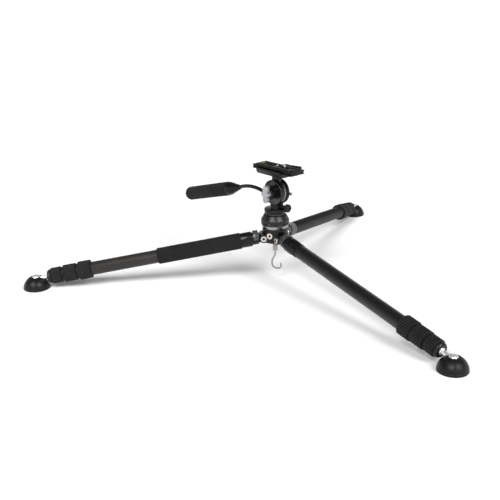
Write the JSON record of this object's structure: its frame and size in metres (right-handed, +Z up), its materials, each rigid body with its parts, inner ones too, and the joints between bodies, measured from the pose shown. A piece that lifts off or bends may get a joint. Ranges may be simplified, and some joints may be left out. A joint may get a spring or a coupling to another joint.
{
  "type": "camera tripod with fluid head",
  "caption": "Low-spread carbon camera tripod with twist-lock legs, ball feet, levelling base and a compact fluid head with handle and quick-release plate.",
  "frame": {"origin": "floor level on the pan axis, midway between the feet", "axes": "+Z up along the pan axis, +Y towards the pan handle, X along the tilt axis"},
  "size_m": [0.9155, 0.8622, 0.2513],
  "materials": {
    "carbon_tube": "satin woven carbon",
    "black_casting": "gloss black enamel",
    "black_anodised": "satin black anodised",
    "grey_metal": "satin grey",
    "bright_ring": "bright machined bevel",
    "silver_knob": "satin silver",
    "chrome": "polished",
    "steel": "brushed",
    "brass_pin": "machined",
    "lock_rubber": "ribbed matt rubber",
    "foot_rubber": "moulded satin rubber",
    "pad_rubber": "matt",
    "foam": "closed-cell foam",
    "black_plastic": "knurled"
  },
  "bodies": {
    "hub": {"apex_casting": "black_casting", "leg_hinge_bolts": "chrome", "apex_side_screws": "chrome", "top_ring": "bright_ring", "hook_sleeve": "chrome", "levelling_cup": "black_anodised"},
    "weight_hook": {"hook_wire": "chrome"},
    "lock_ring": {"levelling_lock_ring": "black_anodised"},
    "level": {"levelling_ball": "black_anodised", "pan_base": "black_anodised"},
    "head": {"head_frame": "black_casting", "tilt_axle": "steel"},
    "pan_knob": {"pan_lock_knob": "black_plastic"},
    "tilt": {"tilt_drum": "black_casting", "clamp_body": "black_anodised"},
    "tilt_lever": {"tilt_lock_lever": "grey_metal"},
    "wing_knob": {"handle_wing_knob": "silver_knob"},
    "handle": {"handle_rod": "black_anodised", "handle_grip": "foam"},
    "jaw": {"clamp_jaw": "black_anodised"},
    "lever": {"clamp_lever": "black_anodised"},
    "plate": {"quick_plate": "black_anodised", "plate_rubber_pads": "pad_rubber", "anti_twist_pins": "brass_pin", "plate_safety_screws": "steel"},
    "screw": {"camera_screw": "steel"},
    "front_leg": {"front_leg_hinge_casting": "black_casting", "front_leg_upper_tube": "carbon_tube"},
    "front_leg_tab": {"front_leg_angle_tab": "grey_metal"},
    "front_leg_section_2": {"front_leg_second_tube": "carbon_tube"},
    "front_leg_section_3": {"front_leg_third_tube": "carbon_tube"},
    "front_leg_section_4": {"front_leg_bottom_tube": "carbon_tube", "front_leg_foot_stem": "chrome"},
    "front_leg_twist_1": {"front_leg_lock_1": "lock_rubber"},
    "front_leg_twist_2": {"front_leg_lock_2": "lock_rubber"},
    "front_leg_twist_3": {"front_leg_lock_3": "lock_rubber"},
    "front_leg_foot": {"front_leg_foot_pad": "foot_rubber"},
    "right_leg": {"right_leg_hinge_casting": "black_casting", "right_leg_upper_tube": "carbon_tube"},
    "right_leg_tab": {"right_leg_angle_tab": "grey_metal"},
    "right_leg_section_2": {"right_leg_second_tube": "carbon_tube"},
    "right_leg_section_3": {"right_leg_third_tube": "carbon_tube"},
    "right_leg_section_4": {"right_leg_bottom_tube": "carbon_tube", "right_leg_foot_stem": "chrome"},
    "right_leg_twist_1": {"right_leg_lock_1": "lock_rubber"},
    "right_leg_twist_2": {"right_leg_lock_2": "lock_rubber"},
    "right_leg_twist_3": {"right_leg_lock_3": "lock_rubber"},
    "right_leg_foot": {"right_leg_foot_pad": "foot_rubber"},
    "rear_leg": {"rear_leg_hinge_casting": "black_casting", "rear_leg_upper_tube": "carbon_tube", "rear_leg_foam_grip": "foam"},
    "rear_leg_tab": {"rear_leg_angle_tab": "grey_metal"},
    "rear_leg_section_2": {"rear_leg_second_tube": "carbon_tube"},
    "rear_leg_section_3": {"rear_leg_third_tube": "carbon_tube"},
    "rear_leg_section_4": {"rear_leg_bottom_tube": "carbon_tube", "rear_leg_foot_stem": "chrome"},
    "rear_leg_twist_1": {"rear_leg_lock_1": "lock_rubber"},
    "rear_leg_twist_2": {"rear_leg_lock_2": "lock_rubber"},
    "rear_leg_twist_3": {"rear_leg_lock_3": "lock_rubber"},
    "rear_leg_foot": {"rear_leg_foot_pad": "foot_rubber"}
  },
  "joints": [
    {"name": "hook_swivel", "type": "hinge", "parent": "hub", "child": "weight_hook", "pos_m": [0, 0, 0.07], "axis": [0, 0, 1], "continuous": true},
    {"name": "lock_ring_turn", "type": "hinge", "parent": "hub", "child": "lock_ring", "pos_m": [0, 0, 0.127], "axis": [0, 0, 1], "range_deg": [0, 60]},
    {"name": "level_tilt", "type": "hinge", "parent": "hub", "child": "level", "pos_m": [0, 0, 0.139], "axis": [1, 0, 0], "range_deg": [-6, 6]},
    {"name": "pan", "type": "hinge", "parent": "level", "child": "head", "pos_m": [0, 0, 0.15], "axis": [0, 0, 1], "continuous": true},
    {"name": "pan_knob_turn", "type": "hinge", "parent": "head", "child": "pan_knob", "pos_m": [0.0055, -0.03, 0.1617], "axis": [0, -1, 0], "range_deg": [-270, 0]},
    {"name": "tilt", "type": "hinge", "parent": "head", "child": "tilt", "pos_m": [0.0055, 0, 0.1914], "axis": [1, 0, 0], "range_deg": [-45, 75]},
    {"name": "tilt_lever_turn", "type": "hinge", "parent": "head", "child": "tilt_lever", "pos_m": [0.018, 0, 0.1914], "axis": [1, 0, 0], "range_deg": [-60, 0]},
    {"name": "wing_knob_turn", "type": "hinge", "parent": "tilt", "child": "wing_knob", "pos_m": [-0.024, 0, 0.1914], "axis": [-1, 0, 0], "continuous": true},
    {"name": "handle_swing", "type": "hinge", "parent": "tilt", "child": "handle", "pos_m": [-0.0156, 0, 0.1914], "axis": [1, 0, 0], "range_deg": [-10, 30]},
    {"name": "clamp_lever_swing", "type": "hinge", "parent": "tilt", "child": "lever", "pos_m": [0.0395, 0.008, 0.237], "axis": [0, 0, 1], "range_deg": [0, 90]},
    {"name": "jaw_slide", "type": "slide", "parent": "tilt", "child": "jaw", "axis": [1, 0, 0], "range_m": [0, 0.0016]},
    {"name": "plate_slide", "type": "slide", "parent": "tilt", "child": "plate", "axis": [0, 1, 0], "range_m": [-0.008, 0.008]},
    {"name": "camera_screw_turn", "type": "hinge", "parent": "plate", "child": "screw", "pos_m": [0.0055, -0.023, 0.243], "axis": [0, 0, 1], "continuous": true},
    {"name": "front_leg_spread", "type": "hinge", "parent": "hub", "child": "front_leg", "pos_m": [-0.00362, -0.02514, 0.09545], "axis": [0.9898, -0.1426, 0], "range_deg": [0, 74]},
    {"name": "front_leg_tab_pull", "type": "slide", "parent": "front_leg", "child": "front_leg_tab", "axis": [-0.1409, -0.9776, -0.1564], "range_m": [0, 0.0027], "stiffness_N_per_m": 300, "springref_m": -0.002},
    {"name": "front_leg_extend_1", "type": "slide", "parent": "front_leg", "child": "front_leg_section_2", "axis": [-0.1409, -0.9776, -0.1564], "range_m": [0, 0.25]},
    {"name": "front_leg_twist_1_turn", "type": "hinge", "parent": "front_leg", "child": "front_leg_twist_1", "pos_m": [-0.0568, -0.39418, 0.03639], "axis": [-0.1409, -0.9776, -0.1564], "range_deg": [0, 120]},
    {"name": "front_leg_extend_2", "type": "slide", "parent": "front_leg_section_2", "child": "front_leg_section_3", "axis": [-0.1409, -0.9776, -0.1564], "range_m": [0, 0.25]},
    {"name": "front_leg_twist_2_turn", "type": "hinge", "parent": "front_leg_section_2", "child": "front_leg_twist_2", "pos_m": [-0.06114, -0.42429, 0.03158], "axis": [-0.1409, -0.9776, -0.1564], "range_deg": [0, 120]},
    {"name": "front_leg_extend_3", "type": "slide", "parent": "front_leg_section_3", "child": "front_leg_section_4", "axis": [-0.1409, -0.9776, -0.1564], "range_m": [0, 0.25]},
    {"name": "front_leg_twist_3_turn", "type": "hinge", "parent": "front_leg_section_3", "child": "front_leg_twist_3", "pos_m": [-0.06563, -0.45548, 0.02659], "axis": [-0.1409, -0.9776, -0.1564], "range_deg": [0, 120]},
    {"name": "front_leg_foot_tilt", "type": "hinge", "parent": "front_leg_section_4", "child": "front_leg_foot", "pos_m": [-0.07166, -0.49726, 0.0199], "axis": [0.9898, -0.1426, 0], "range_deg": [-80, 0]},
    {"name": "right_leg_spread", "type": "hinge", "parent": "hub", "child": "right_leg", "pos_m": [0.02358, 0.00943, 0.09545], "axis": [-0.3714, 0.9285, 0], "range_deg": [0, 74]},
    {"name": "right_leg_tab_pull", "type": "slide", "parent": "right_leg", "child": "right_leg_tab", "axis": [0.9171, 0.3668, -0.1564], "range_m": [0, 0.0027], "stiffness_N_per_m": 300, "springref_m": -0.002},
    {"name": "right_leg_extend_1", "type": "slide", "parent": "right_leg", "child": "right_leg_section_2", "axis": [0.9171, 0.3668, -0.1564], "range_m": [0, 0.25]},
    {"name": "right_leg_twist_1_turn", "type": "hinge", "parent": "right_leg", "child": "right_leg_twist_1", "pos_m": [0.36977, 0.1479, 0.03639], "axis": [0.9171, 0.3668, -0.1564], "range_deg": [0, 120]},
    {"name": "right_leg_extend_2", "type": "slide", "parent": "right_leg_section_2", "child": "right_leg_section_3", "axis": [0.9171, 0.3668, -0.1564], "range_m": [0, 0.25]},
    {"name": "right_leg_twist_2_turn", "type": "hinge", "parent": "right_leg_section_2", "child": "right_leg_twist_2", "pos_m": [0.39802, 0.1592, 0.03158], "axis": [0.9171, 0.3668, -0.1564], "range_deg": [0, 120]},
    {"name": "right_leg_extend_3", "type": "slide", "parent": "right_leg_section_3", "child": "right_leg_section_4", "axis": [0.9171, 0.3668, -0.1564], "range_m": [0, 0.25]},
    {"name": "right_leg_twist_3_turn", "type": "hinge", "parent": "right_leg_section_3", "child": "right_leg_twist_3", "pos_m": [0.42727, 0.1709, 0.02659], "axis": [0.9171, 0.3668, -0.1564], "range_deg": [0, 120]},
    {"name": "right_leg_foot_tilt", "type": "hinge", "parent": "right_leg_section_4", "child": "right_leg_foot", "pos_m": [0.46647, 0.18657, 0.0199], "axis": [-0.3714, 0.9285, 0], "range_deg": [-80, 0]},
    {"name": "rear_leg_spread", "type": "hinge", "parent": "hub", "child": "rear_leg", "pos_m": [-0.01996, 0.01571, 0.09545], "axis": [-0.6184, -0.7859, 0], "range_deg": [0, 74]},
    {"name": "rear_leg_tab_pull", "type": "slide", "parent": "rear_leg", "child": "rear_leg_tab", "axis": [-0.7762, 0.6108, -0.1564], "range_m": [0, 0.0027], "stiffness_N_per_m": 300, "springref_m": -0.002},
    {"name": "rear_leg_extend_1", "type": "slide", "parent": "rear_leg", "child": "rear_leg_section_2", "axis": [-0.7762, 0.6108, -0.1564], "range_m": [0, 0.25]},
    {"name": "rear_leg_twist_1_turn", "type": "hinge", "parent": "rear_leg", "child": "rear_leg_twist_1", "pos_m": [-0.31297, 0.24628, 0.03639], "axis": [-0.7762, 0.6108, -0.1564], "range_deg": [0, 120]},
    {"name": "rear_leg_extend_2", "type": "slide", "parent": "rear_leg_section_2", "child": "rear_leg_section_3", "axis": [-0.7762, 0.6108, -0.1564], "range_m": [0, 0.25]},
    {"name": "rear_leg_twist_2_turn", "type": "hinge", "parent": "rear_leg_section_2", "child": "rear_leg_twist_2", "pos_m": [-0.33688, 0.2651, 0.03158], "axis": [-0.7762, 0.6108, -0.1564], "range_deg": [0, 120]},
    {"name": "rear_leg_extend_3", "type": "slide", "parent": "rear_leg_section_3", "child": "rear_leg_section_4", "axis": [-0.7762, 0.6108, -0.1564], "range_m": [0, 0.25]},
    {"name": "rear_leg_twist_3_turn", "type": "hinge", "parent": "rear_leg_section_3", "child": "rear_leg_twist_3", "pos_m": [-0.36164, 0.28458, 0.02659], "axis": [-0.7762, 0.6108, -0.1564], "range_deg": [0, 120]},
    {"name": "rear_leg_foot_tilt", "type": "hinge", "parent": "rear_leg_section_4", "child": "rear_leg_foot", "pos_m": [-0.39482, 0.31069, 0.0199], "axis": [-0.6184, -0.7859, 0], "range_deg": [-80, 0]}
  ],
  "couplings": [
    {"joint": "jaw_slide", "follows": "clamp_lever_swing", "m_per_rad": 0.001}
  ]
}
